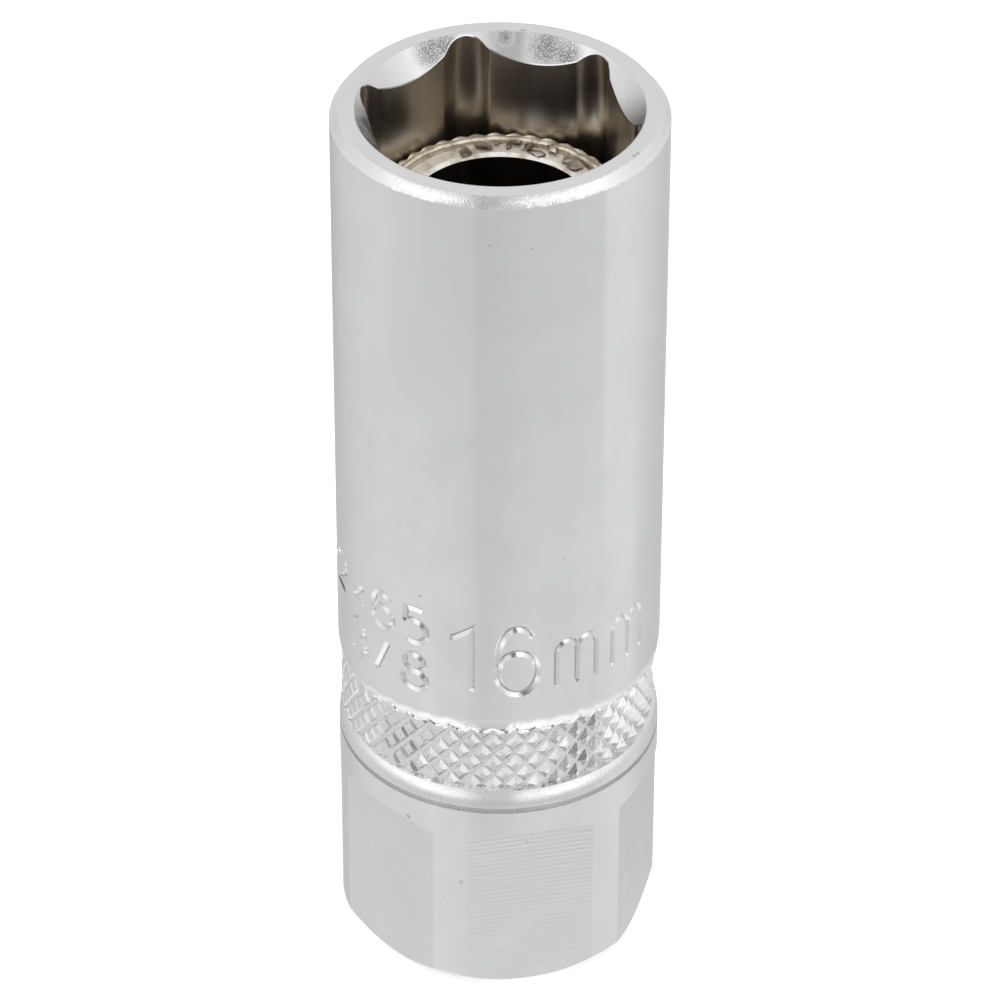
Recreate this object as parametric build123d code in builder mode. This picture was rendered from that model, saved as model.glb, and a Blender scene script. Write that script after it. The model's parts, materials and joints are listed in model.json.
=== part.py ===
"""Spark plug socket: hex mouth with a magnet insert at the top, square drive end at the bottom.

Millimetres. The origin is the centre of the drive end's face and +Z points to the hex mouth,
so the socket stands on its drive end. Angles are in degrees from +X towards +Y.
"""

import os
from math import atan2, cos, degrees, hypot, pi, radians, sin, tan

from build123d import *

# Body, outside
overall_length = 65.0
body_wall = 2.9
mouth_edge_radial = 0.5
mouth_edge_axial = 0.85
drive_edge_radial = 0.95
drive_edge_axial = 1.0

# Grip band, its round-over above and its shoulder below
band_bottom = 17.4
band_height = 5.1
band_depth = 0.5
shoulder_height = 1.5
shoulder_drop = 0.19
barrel_edge_height = 0.85
barrel_edge_drop = 0.13

# Diamond studs of the grip band
stud_columns = 45
stud_row_pitch = 0.885
stud_rise = 0.4
stud_groove_floor = 0.14
stud_root = 0.05
stud_crest = 0.12
stud_angle = -92.0

# Six milled flats on the drive end
flat_cut = 0.92
flat_top = 13.05
flat_runout = 0.72
flat_angle = 42.5

# Hex mouth
hex_across = 16.2
hex_depth = 14.0
hex_angle = 44.9
lobe_reach = 1.17
lobe_width = 2.85
lobe_blend = 0.35
cone_reach = 1.28
cone_half_angle = 38.7
cone_past_flank = 0.3

# Plain bore and square drive
bore_ledge = 1.1
bore_point_angle = 118.0
bore_point_height = 11.0
square_across = 9.6
square_corner_cut = 0.24
square_entry_edge = 1.3
detent_depth = 0.6
detent_section_radius = 1.2
detent_height = 5.5

# Magnet insert
insert_fit = 0.02
holder_lip = 0.2
holder_wall = 0.76
holder_flange = 1.0
holder_flange_setback = 0.35
serration_count = 40
serration_radius = 1.2
holder_edge = 0.15
bead_height = 0.3
bead_overhang = 0.27
magnet_height = 5.45
magnet_wall = 1.55
magnet_outer_edge = 0.3
magnet_hole_edge = 0.25

hex_flank = hex_across / 2
hex_floor = overall_length - hex_depth
bore_radius = hex_flank - bore_ledge
body_radius = hex_flank + body_wall
band_top = band_bottom + band_height
band_core_radius = body_radius - band_depth


def ring_plane(angle: float, radius: float, height: float) -> Plane:
    """Return a plane that touches a circle round Z, facing outwards with its y axis up."""
    place = (radius * cos(radians(angle)), radius * sin(radians(angle)), height)
    outwards = (cos(radians(angle)), sin(radians(angle)), 0)
    along = (-sin(radians(angle)), cos(radians(angle)), 0)
    return Plane(origin=place, x_dir=along, z_dir=outwards)


# One diamond stud of the grip band, tapered from its seat up to a small flat crest
stud_width = 2 * pi * band_core_radius / stud_columns - stud_groove_floor
stud_length = 2 * stud_row_pitch - stud_groove_floor
stud_inradius = stud_width * stud_length / (2 * hypot(stud_width, stud_length))
stud_taper = degrees(atan2(stud_inradius * (1 - stud_crest), stud_rise + stud_root))

with BuildPart() as grip_stud:
    with BuildSketch(Plane.XY.offset(-stud_root)):
        with BuildLine():
            Polyline(
                (stud_width / 2, 0),
                (0, stud_length / 2),
                (-stud_width / 2, 0),
                (0, -stud_length / 2),
                close=True,
            )
        make_face()
    extrude(amount=stud_rise + stud_root, taper=stud_taper)


# Socket body: the turned outside, one half section swept round the axis
shoulder_foot = (body_radius, band_bottom - shoulder_height)
shoulder_lip = (body_radius - shoulder_drop, band_bottom)
barrel_lip = (body_radius - barrel_edge_drop, band_top)
barrel_foot = (body_radius, band_top + barrel_edge_height)

with BuildPart() as socket_body:
    with BuildSketch(Plane.XZ):
        with BuildLine():
            Polyline(
                (0, overall_length),
                (0, 0),
                (body_radius - drive_edge_radial, 0),
                (body_radius, drive_edge_axial),
                shoulder_foot,
            )
            TangentArc(shoulder_foot, shoulder_lip, tangent=(0, 1))
            band_floor = ((band_core_radius, band_bottom), (band_core_radius, band_top))
            Polyline(shoulder_lip, *band_floor, barrel_lip)
            TangentArc(barrel_foot, barrel_lip, tangent=(0, -1))
            Polyline(
                barrel_foot,
                (body_radius, overall_length - mouth_edge_axial),
                (body_radius - mouth_edge_radial, overall_length),
                (0, overall_length),
            )
        make_face()
    revolve(axis=Axis.Z)

    # Wrench flats, whose upper end slopes back out to the drive end's full size
    flat_flank = body_radius - flat_cut
    flat_clear = body_radius + flat_cut
    for index in range(6):
        outwards = flat_angle + 60 * index
        flat_side = Plane(
            origin=(0, 0, 0),
            x_dir=(cos(radians(outwards)), sin(radians(outwards)), 0),
            z_dir=(sin(radians(outwards)), -cos(radians(outwards)), 0),
        )
        with BuildSketch(flat_side):
            with BuildLine():
                Polyline(
                    (flat_flank, -flat_cut),
                    (flat_flank, flat_top),
                    (flat_clear, flat_top + 2 * flat_runout),
                    (flat_clear, -flat_cut),
                    close=True,
                )
            make_face()
        extrude(amount=body_radius, both=True, mode=Mode.SUBTRACT)

    # Hex open at the mouth, with each corner cleared by a round lobe that bites into both flanks
    lobe_tip = hex_flank + lobe_reach
    lobe_chord = hex_flank / cos(radians(30)) - lobe_width / 2 / tan(radians(60))
    lobe_rise = lobe_tip - lobe_chord
    lobe_radius = ((lobe_width / 2) ** 2 + lobe_rise**2) / (2 * lobe_rise)
    lobe_centre = lobe_tip - lobe_radius
    with BuildSketch(Plane.XY.offset(hex_floor)) as hex_section:
        RegularPolygon(radius=hex_flank, side_count=6, major_radius=False, rotation=hex_angle)
        Circle(hypot(hex_flank, lobe_centre / 2), mode=Mode.INTERSECT)
        with PolarLocations(lobe_centre, 6, start_angle=hex_angle):
            Circle(lobe_radius)
        fillet(hex_section.vertices(), lobe_blend)
    extrude(amount=hex_depth, mode=Mode.SUBTRACT)

    # Entry cone that leads the plug into the hex
    cone_mouth = hex_flank + cone_reach
    cone_run = cone_reach + cone_past_flank
    cone_depth = cone_run / tan(radians(cone_half_angle))
    with BuildSketch(Plane.XZ):
        with BuildLine():
            Polyline(
                (0, overall_length),
                (cone_mouth, overall_length),
                (cone_mouth - cone_run, overall_length - cone_depth),
                (0, overall_length - cone_depth),
                close=True,
            )
        make_face()
    revolve(axis=Axis.Z, mode=Mode.SUBTRACT)

    # Plain bore, drilled from the mouth down to its pointed end
    bore_end = bore_point_height + bore_radius / tan(radians(bore_point_angle / 2))
    with BuildSketch(Plane.XZ):
        with BuildLine():
            Polyline(
                (0, hex_floor),
                (bore_radius, hex_floor),
                (bore_radius, bore_end),
                (0, bore_point_height),
                close=True,
            )
        make_face()
    revolve(axis=Axis.Z, mode=Mode.SUBTRACT)

    # Square drive hole with relieved corners, broached through into the bore
    square_flank = square_across / 2
    with BuildSketch(Plane.XY):
        Rectangle(square_across, square_across)
        Circle(hypot(square_flank, square_flank) - square_corner_cut, mode=Mode.INTERSECT)
    extrude(amount=bore_end, mode=Mode.SUBTRACT)
    with BuildSketch(Plane.XZ):
        with BuildLine():
            square_entry = square_flank + square_entry_edge
            Polyline((0, 0), (square_entry, 0), (0, square_entry), close=True)
        make_face()
    revolve(axis=Axis.Z, mode=Mode.SUBTRACT)

    # Recess for the drive's spring ball, turned as one groove so that it bites into each wall
    with BuildSketch(Plane.XZ):
        with Locations((square_flank + detent_depth - detent_section_radius, detent_height)):
            Circle(detent_section_radius)
    revolve(axis=Axis.Z, mode=Mode.SUBTRACT)

    # Rolled diamond grip: rows of studs, every other row half a step on
    stud_step = 360 / stud_columns
    stud_rows = round(band_height / stud_row_pitch)
    first_row = band_bottom + (band_height - (stud_rows - 1) * stud_row_pitch) / 2
    stud_planes = []
    for row in range(stud_rows):
        height = first_row + row * stud_row_pitch
        row_angle = stud_angle + (row % 2) * stud_step / 2
        for column in range(stud_columns):
            stud_planes.append(ring_plane(row_angle + column * stud_step, band_core_radius, height))
    with Locations(*stud_planes):
        add(grip_stud.part)

socket_body.part.label = "socket_body"


# Magnet holder: a cup ring with a serrated edge, standing on the hex's floor
holder_radius = hex_flank - insert_fit
pocket_radius = holder_radius - holder_wall
magnet_radius = pocket_radius - insert_fit
magnet_hole_radius = magnet_radius - magnet_wall
magnet_foot = hex_floor + holder_flange
magnet_top = magnet_foot + magnet_height
holder_top = magnet_top + holder_lip
flange_hole_radius = magnet_hole_radius + holder_flange_setback
bead_inner_radius = pocket_radius - bead_overhang
bead_outer_radius = bead_inner_radius + 2 * bead_height

with BuildPart() as magnet_holder:
    with BuildSketch(Plane.XY.offset(hex_floor)):
        Circle(holder_radius - holder_wall / 2)
        with PolarLocations(holder_radius - serration_radius, serration_count, start_angle=hex_angle):
            Circle(serration_radius)
    extrude(amount=holder_top - hex_floor)
    with BuildSketch(Plane.XZ):
        with BuildLine():
            Polyline(
                (holder_radius - holder_edge, holder_top),
                (holder_radius + holder_edge, holder_top - 2 * holder_edge),
                (holder_radius + holder_edge, holder_top),
                close=True,
            )
        make_face()
    revolve(axis=Axis.Z, mode=Mode.SUBTRACT)

    # Bead rolled up along the inside of the top face
    with BuildSketch(Plane.XZ):
        with Locations((bead_outer_radius - bead_height, holder_top)):
            Circle(bead_height)
    revolve(axis=Axis.Z)

    # Pocket, whose lip follows the chamfer of the magnet that it holds down
    with BuildSketch(Plane.XZ):
        with BuildLine():
            Polyline(
                (0, hex_floor),
                (flange_hole_radius, hex_floor),
                (flange_hole_radius, magnet_foot),
                (pocket_radius, magnet_foot),
                (pocket_radius, magnet_top - magnet_outer_edge),
                (bead_inner_radius, magnet_top - magnet_outer_edge + bead_overhang),
                (bead_inner_radius, holder_top + 2 * bead_height),
                (0, holder_top + 2 * bead_height),
                close=True,
            )
        make_face()
    revolve(axis=Axis.Z, mode=Mode.SUBTRACT)

magnet_holder.part.label = "magnet_holder"


# Ring magnet, lying on the holder's flange under its lip
with BuildPart() as ring_magnet:
    with BuildSketch(Plane.XY.offset(magnet_foot)):
        Circle(magnet_radius)
        Circle(magnet_hole_radius, mode=Mode.SUBTRACT)
    extrude(amount=magnet_height)
    top_rims = ring_magnet.faces().sort_by(Axis.Z)[-1].edges().sort_by(SortBy.RADIUS)
    chamfer(top_rims[-1], magnet_outer_edge)
    hole_rims = ring_magnet.edges().filter_by(GeomType.CIRCLE).sort_by(SortBy.RADIUS)[0:2]
    chamfer(hole_rims, magnet_hole_edge)

ring_magnet.part.label = "ring_magnet"


os.makedirs("parts", exist_ok=True)
for piece in (socket_body, magnet_holder, ring_magnet):
    export_step(piece.part, f"parts/{piece.part.label}.step")
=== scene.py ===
"""Looks of a chromed spark plug socket with a magnet insert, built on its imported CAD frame.

Shapes are worked out in millimetres, with the drive end's face at z = 0, and put in metres when a
piece is finished. Angles are in degrees from +X towards +Y; one named turn is in radians. Two places
nearer than TOUCH millimetres count as one.
"""

import json
import logging
import random
from dataclasses import dataclass, field
from enum import Enum, IntEnum
from math import atan2, cos, degrees, hypot, pi, radians, sin, sqrt, tan
from typing import Callable, Iterable, Mapping, Sequence

import bmesh
import bpy
from mathutils import Matrix, Vector, noise

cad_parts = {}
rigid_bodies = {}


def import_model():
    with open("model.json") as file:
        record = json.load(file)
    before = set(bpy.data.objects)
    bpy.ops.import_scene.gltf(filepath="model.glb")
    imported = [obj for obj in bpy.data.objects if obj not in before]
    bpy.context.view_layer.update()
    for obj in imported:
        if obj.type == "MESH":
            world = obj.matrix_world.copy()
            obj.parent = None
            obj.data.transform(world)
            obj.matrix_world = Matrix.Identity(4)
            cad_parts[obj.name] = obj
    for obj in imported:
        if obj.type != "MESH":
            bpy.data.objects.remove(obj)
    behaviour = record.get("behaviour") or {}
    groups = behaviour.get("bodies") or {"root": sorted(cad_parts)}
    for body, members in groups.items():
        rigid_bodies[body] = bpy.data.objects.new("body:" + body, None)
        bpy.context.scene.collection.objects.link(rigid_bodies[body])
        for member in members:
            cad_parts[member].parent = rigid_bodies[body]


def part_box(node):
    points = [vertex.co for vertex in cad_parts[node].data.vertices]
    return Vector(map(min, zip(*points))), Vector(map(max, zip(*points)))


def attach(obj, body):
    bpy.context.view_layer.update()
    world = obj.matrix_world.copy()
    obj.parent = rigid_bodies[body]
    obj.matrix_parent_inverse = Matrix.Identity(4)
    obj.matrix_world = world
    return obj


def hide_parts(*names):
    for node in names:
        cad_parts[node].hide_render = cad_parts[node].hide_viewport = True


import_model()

log = logging.getLogger("socket")

MM = 0.001
TOUCH = 2e-4
BODY = "root"

Polar = float | Callable[[float], float]
Point = tuple[float, float]
Place = tuple[float, float, float]
Colour = tuple[float, float, float]
Spots = tuple[tuple[Place, float], ...]
Tones = tuple[tuple[float, float], ...]
Element = bmesh.types.BMVert | bmesh.types.BMEdge | bmesh.types.BMFace
Geometry = list[Element]


class Slot(Enum):
    """Material slots of the record, by name; the pieces here make their own materials."""

    CHROME = "chrome_plate"
    HOLDER = "holder_metal"
    MAGNET = "magnet_plate"


class Coat(IntEnum):
    """Finishes of the socket body, numbered as its faces' material indices."""

    OUTSIDE = 0
    HEX = 1
    CONE = 2
    MILLED = 3
    TURNED = 4
    CHAMFER = 5
    # BORE: near-black painted shade in the bore.
    BORE = 6
    ROLLED = 7
    STRUCK = 8
    # STRIP: a darker tone, painted shade of the step under the shoulder.
    STRIP = 9


def at_angle(value: Polar, angle: float) -> float:
    """Return a radius or height at one angle.

    Args:
        value: A number, or a function of the angle in degrees.
        angle: The angle in degrees.

    Returns:
        The number at that angle.
    """
    return value(angle) if callable(value) else value


def from_nearest(angle: float, first: float, step: float) -> float:
    """Return how far an angle is from the nearest of a ring of equal steps.

    Args:
        angle: The angle in degrees.
        first: The angle of one of the steps.
        step: The angle between steps.

    Returns:
        The signed difference, at most half a step.
    """
    return (angle - first + step / 2) % step - step / 2


def smooth_max(one: float, other: float, blend: float) -> float:
    """Return the larger of two numbers, rounded over where they are about the same.

    Args:
        one: The first number.
        other: The second number.
        blend: How near they are where the rounding starts.

    Returns:
        The rounded maximum.
    """
    near = max(blend - abs(one - other), 0.0) / blend
    return max(one, other) + near * near * blend / 4


def held_within(value: float, low: float, high: float) -> float:
    """Return a number held between two others.

    Args:
        value: The number.
        low: The least it may be.
        high: The most it may be.

    Returns:
        The number, or the end that it is past.
    """
    return min(max(value, low), high)


def wander(angle: float, fineness: float, seed: float) -> float:
    """Return smooth noise round the axis, which meets itself after a full turn.

    Args:
        angle: The angle in degrees.
        fineness: How fine it is: the radius of the circle that it is read round.
        seed: A number that sets one run of noise apart from another.

    Returns:
        A number between about -1 and 1.
    """
    turn = radians(angle)
    return noise.noise(Vector((fineness * cos(turn), fineness * sin(turn), seed)))


def round_over(radius: float, size: Point, past: float) -> float:
    """Return the radius along a round-over that starts level with a cylinder's wall.

    Args:
        radius: The cylinder's radius.
        size: The round-over's height, and how far it drops in.
        past: How far past its start.

    Returns:
        The radius there.
    """
    height, drop = size
    sweep = (height**2 + drop**2) / (2 * drop)
    return radius - sweep + sqrt(sweep**2 - past**2)


def whole(bm: bmesh.types.BMesh) -> Geometry:
    """Return all points, edges and faces of a mesh.

    Args:
        bm: The mesh.

    Returns:
        One list of them.
    """
    return bm.verts[:] + bm.edges[:] + bm.faces[:]


def points_in(geometry: Iterable[Element]) -> list[bmesh.types.BMVert]:
    """Return the points among some geometry.

    Args:
        geometry: Points, edges and faces.

    Returns:
        The points alone.
    """
    return [item for item in geometry if isinstance(item, bmesh.types.BMVert)]


def pour(source: bmesh.types.BMesh, target: bmesh.types.BMesh) -> None:
    """Add one mesh to another and free it.

    Args:
        source: The mesh that is added.
        target: The mesh that it is added to.
    """
    held = bpy.data.meshes.new("work")
    source.to_mesh(held)
    source.free()
    target.from_mesh(held)
    bpy.data.meshes.remove(held)


def put_in_scene(name: str, bm: bmesh.types.BMesh) -> bpy.types.Object:
    """Make a mesh an object of the scene and free it.

    Args:
        name: The object's name.
        bm: The mesh.

    Returns:
        The object.
    """
    mesh = bpy.data.meshes.new(name)
    bm.to_mesh(mesh)
    bm.free()
    piece = bpy.data.objects.new(name, mesh)
    bpy.context.scene.collection.objects.link(piece)
    return piece


@dataclass
class Lathe:
    """A shell made ring by ring, each ring extruded from the last one and moved to its place.

    Attributes:
        steps: How many points a ring has.
        bm: The mesh that grows.
        material: The material index of the next strip of faces.
        verts: The points of the last ring.
        edges: The edges of the last ring.
        first: The edges of the first ring.
    """

    steps: int
    bm: bmesh.types.BMesh = field(default_factory=bmesh.new)
    material: int = 0
    verts: list[bmesh.types.BMVert] = field(default_factory=list)
    edges: list[bmesh.types.BMEdge] = field(default_factory=list)
    first: list[bmesh.types.BMEdge] = field(default_factory=list)

    def _place(self, radius: Polar, height: Polar) -> None:
        """Move the last ring's points out to a radius and height, each along its own angle.

        Args:
            radius: The radius, which may change with the angle.
            height: The height, which may change with the angle.
        """
        for vert in self.verts:
            turn = atan2(vert.co.y, vert.co.x)
            angle = degrees(turn)
            reach = at_angle(radius, angle)
            vert.co = (reach * cos(turn), reach * sin(turn), at_angle(height, angle))

    def start(self, radius: Polar, height: Polar) -> None:
        """Make the first ring.

        Args:
            radius: Its radius.
            height: Its height.
        """
        made = bmesh.ops.create_circle(self.bm, cap_ends=False, segments=self.steps, radius=1.0)
        self.verts = made["verts"]
        self.edges = list({edge for vert in self.verts for edge in vert.link_edges})
        self.first = self.edges
        self._place(radius, height)

    def ring(self, radius: Polar, height: Polar) -> None:
        """Extrude the last ring to a new one.

        Args:
            radius: The new ring's radius.
            height: The new ring's height.
        """
        made = bmesh.ops.extrude_edge_only(self.bm, edges=self.edges)["geom"]
        self.verts = points_in(made)
        fresh = set(self.verts)
        edges = [item for item in made if isinstance(item, bmesh.types.BMEdge)]
        self.edges = [edge for edge in edges if fresh.issuperset(edge.verts)]
        for edge in self.edges:
            for face in edge.link_faces:
                face.material_index = self.material
        self._place(radius, height)

    def rings(self, profile: Iterable[tuple[Polar, Polar]], material: int | None = None) -> None:
        """Extrude through a run of rings.

        Args:
            profile: Pairs of radius and height.
            material: The material index of their faces, where it changes.
        """
        if material is not None:
            self.material = material
        for radius, height in profile:
            self.ring(radius, height)

    def close(self) -> None:
        """Join the last ring to the first one."""
        made = bmesh.ops.bridge_loops(self.bm, edges=self.edges + self.first)
        for face in made["faces"]:
            face.material_index = self.material


def finish_piece(
    name: str,
    bm: bmesh.types.BMesh,
    materials: Sequence[bpy.types.Material],
    replaces: str | None,
    sharp_angle: float,
    work: Callable[[bpy.types.Object], None] | None = None,
) -> bpy.types.Object:
    """Turn a mesh worked out in millimetres into a finished piece of the scene.

    Args:
        name: The piece's name.
        bm: Its mesh, which is freed.
        materials: Its materials in the order of the faces' material indices.
        replaces: The CAD node that it stands for, if any.
        sharp_angle: The angle in degrees past which an edge is shaded sharp.
        work: Work done on the object while its mesh is still in millimetres.

    Returns:
        The new object.
    """
    bmesh.ops.recalc_face_normals(bm, faces=bm.faces[:])
    piece = put_in_scene(name, bm)
    for material in materials:
        piece.data.materials.append(material)
    if work:
        work(piece)
    piece.data.transform(Matrix.Scale(MM, 4))
    shade(piece, sharp_angle)
    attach(piece, BODY)
    if replaces:
        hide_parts(replaces)
    return piece


def shade(piece: bpy.types.Object, sharp_angle: float) -> None:
    """Shade a piece smooth, with sharp edges past an angle and large faces kept even.

    Args:
        piece: The object to shade.
        sharp_angle: The angle in degrees past which an edge is sharp.
    """
    piece.data.shade_smooth()
    piece.data.set_sharp_from_angle(angle=radians(sharp_angle))
    even = piece.modifiers.new("even_shading", "WEIGHTED_NORMAL")
    even.mode = "FACE_AREA"
    even.weight = 50
    even.keep_sharp = True


# Finishes


@dataclass
class Wiring:
    """Shorthand for wiring up the nodes of one tree.

    Attributes:
        tree: The node tree.
    """

    tree: bpy.types.NodeTree

    def node(self, kind: str) -> bpy.types.Node:
        """Put in a new node."""
        return self.tree.nodes.new(kind)

    def link(self, out: bpy.types.NodeSocket, into: bpy.types.NodeSocket) -> None:
        """Wire one socket to another."""
        self.tree.links.new(out, into)

    def maths(
        self, how: str, one: bpy.types.NodeSocket, other: bpy.types.NodeSocket | float | None = None
    ) -> bpy.types.NodeSocket:
        """Return a sum of one or two numbers.

        Args:
            how: The name of the operation.
            one: The first number.
            other: The second number, if the operation takes one.

        Returns:
            The outcome.
        """
        node = self.node("ShaderNodeMath")
        node.operation = how
        self.link(one, node.inputs[0])
        if isinstance(other, float):
            node.inputs[1].default_value = other
        elif other is not None:
            self.link(other, node.inputs[1])
        return node.outputs["Value"]

    def spread(
        self,
        value: bpy.types.NodeSocket,
        low: float,
        high: float,
        to_low: float = 0.0,
        to_high: float = 1.0,
        kind: str = "SMOOTHSTEP",
    ) -> bpy.types.NodeSocket:
        """Return a value moved from one range to another, and held at its ends.

        Args:
            value: The number.
            low: The low end it comes from.
            high: The high end it comes from.
            to_low: The number that the low end becomes.
            to_high: The number that the high end becomes.
            kind: The name of the way between them.

        Returns:
            The number in its new range.
        """
        node = self.node("ShaderNodeMapRange")
        node.interpolation_type = kind
        node.inputs["From Min"].default_value = low
        node.inputs["From Max"].default_value = high
        node.inputs["To Min"].default_value = to_low
        node.inputs["To Max"].default_value = to_high
        self.link(value, node.inputs["Value"])
        return node.outputs["Result"]

    def between(
        self,
        share: bpy.types.NodeSocket,
        one: Colour | bpy.types.NodeSocket,
        other: Colour | bpy.types.NodeSocket,
    ) -> bpy.types.NodeSocket:
        """Return a colour between two.

        Args:
            share: How much of the second colour.
            one: The first colour, or a socket with one.
            other: The second colour, or a socket with one.

        Returns:
            The mixed colour.
        """
        node = self.node("ShaderNodeMix")
        node.data_type = "RGBA"
        self.link(share, next(socket for socket in node.inputs if socket.type == "VALUE"))
        colours = [socket for socket in node.inputs if socket.type == "RGBA"]
        for colour, socket in zip((one, other), colours):
            if isinstance(colour, tuple):
                socket.default_value = (*colour, 1.0)
            else:
                self.link(colour, socket)
        return next(socket for socket in node.outputs if socket.type == "RGBA")


class Bench(Wiring):
    """A bench for one metal's nodes, whose patterns all read its Object coordinates.

    Attributes:
        material: The material being made.
        shader: Its main shader.
        where: The Object coordinates that patterns read.
    """

    def __init__(self, name: str, metallic: float) -> None:
        """Clear the tree and put in the shader, its output and the coordinates.

        Args:
            name: The material's name.
            metallic: How metallic it is.
        """
        self.material = bpy.data.materials.new(name)
        self.material.use_nodes = True
        super().__init__(self.material.node_tree)
        self.tree.nodes.clear()
        out = self.node("ShaderNodeOutputMaterial")
        self.shader = self.node("ShaderNodeBsdfPrincipled")
        self.shader.inputs["Metallic"].default_value = metallic
        self.link(self.shader.outputs["BSDF"], out.inputs["Surface"])
        self.where = self.node("ShaderNodeTexCoord").outputs["Object"]

    def stretched(self, scale: Place) -> bpy.types.NodeSocket:
        """Return the coordinates scaled along each axis.

        Args:
            scale: The scale along X, Y and Z.

        Returns:
            The scaled coordinates.
        """
        node = self.node("ShaderNodeMapping")
        node.inputs["Scale"].default_value = scale
        self.link(self.where, node.inputs["Vector"])
        return node.outputs["Vector"]

    def noise(
        self,
        size: float,
        detail: float = 2.0,
        rough: float = 0.5,
        where: bpy.types.NodeSocket | None = None,
    ) -> bpy.types.NodeSocket:
        """Return noise whose features are about a size.

        Args:
            size: The size of its features in millimetres.
            detail: How many finer layers it has.
            rough: How strong the finer layers are.
            where: Coordinates other than the plain ones.

        Returns:
            A number between 0 and 1.
        """
        node = self.node("ShaderNodeTexNoise")
        node.inputs["Scale"].default_value = 1.0 / (size * MM)
        node.inputs["Detail"].default_value = detail
        node.inputs["Roughness"].default_value = rough
        self.link(where or self.where, node.inputs["Vector"])
        return node.outputs["Fac"]

    def cells(self, size: float) -> bpy.types.NodeSocket:
        """Return the distance to the nearest of scattered points.

        Args:
            size: The average space between the points in millimetres.

        Returns:
            The distance in units of that space.
        """
        node = self.node("ShaderNodeTexVoronoi")
        node.inputs["Scale"].default_value = 1.0 / (size * MM)
        self.link(self.where, node.inputs["Vector"])
        return node.outputs["Distance"]

    def near(self, place: Place, reach: float) -> bpy.types.NodeSocket:
        """Return how near a spot is, 1 at the spot and 0 past its reach.

        Args:
            place: The spot in millimetres.
            reach: Its reach in millimetres.

        Returns:
            A number between 0 and 1.
        """
        node = self.node("ShaderNodeVectorMath")
        node.operation = "DISTANCE"
        node.inputs[1].default_value = Vector(place) * MM
        self.link(self.where, node.inputs[0])
        return self.spread(node.outputs["Value"], 0.1 * reach * MM, reach * MM, 1.0, 0.0)

    def lines(self, pitch: float) -> bpy.types.NodeSocket:
        """Return straight lines across the socket, 1 in each line and 0 between them.

        Args:
            pitch: The height from one line to the next in millimetres.

        Returns:
            A number between 0 and 1.
        """
        wave = self.node("ShaderNodeTexWave")
        wave.wave_type = "BANDS"
        wave.bands_direction = "Z"
        wave.inputs["Scale"].default_value = pi / 10 / (pitch * MM)
        self.link(self.where, wave.inputs["Vector"])
        return wave.outputs["Fac"]

    def height(self) -> bpy.types.NodeSocket:
        """Return the height over the drive end's face in metres."""
        node = self.node("ShaderNodeSeparateXYZ")
        self.link(self.where, node.inputs["Vector"])
        return node.outputs["Z"]

    def bump(
        self, height: bpy.types.NodeSocket, depth: float, after: bpy.types.NodeSocket | None = None
    ) -> bpy.types.NodeSocket:
        """Return a normal bumped by a height.

        Args:
            height: The height between 0 and 1.
            depth: What a height of 1 is in millimetres.
            after: A normal that this one is added to.

        Returns:
            The bumped normal.
        """
        node = self.node("ShaderNodeBump")
        node.inputs["Distance"].default_value = depth * MM
        self.link(height, node.inputs["Height"])
        if after:
            self.link(after, node.inputs["Normal"])
        return node.outputs["Normal"]

    def dress(
        self, tone: bpy.types.NodeSocket, roughness: bpy.types.NodeSocket, normal: bpy.types.NodeSocket
    ) -> bpy.types.Material:
        """Wire the patterns to the shader.

        Args:
            tone: The colour.
            roughness: The roughness.
            normal: The normal.

        Returns:
            The finished material.
        """
        self.link(tone, self.shader.inputs["Base Color"])
        self.link(roughness, self.shader.inputs["Roughness"])
        self.link(normal, self.shader.inputs["Normal"])
        return self.material


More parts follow.
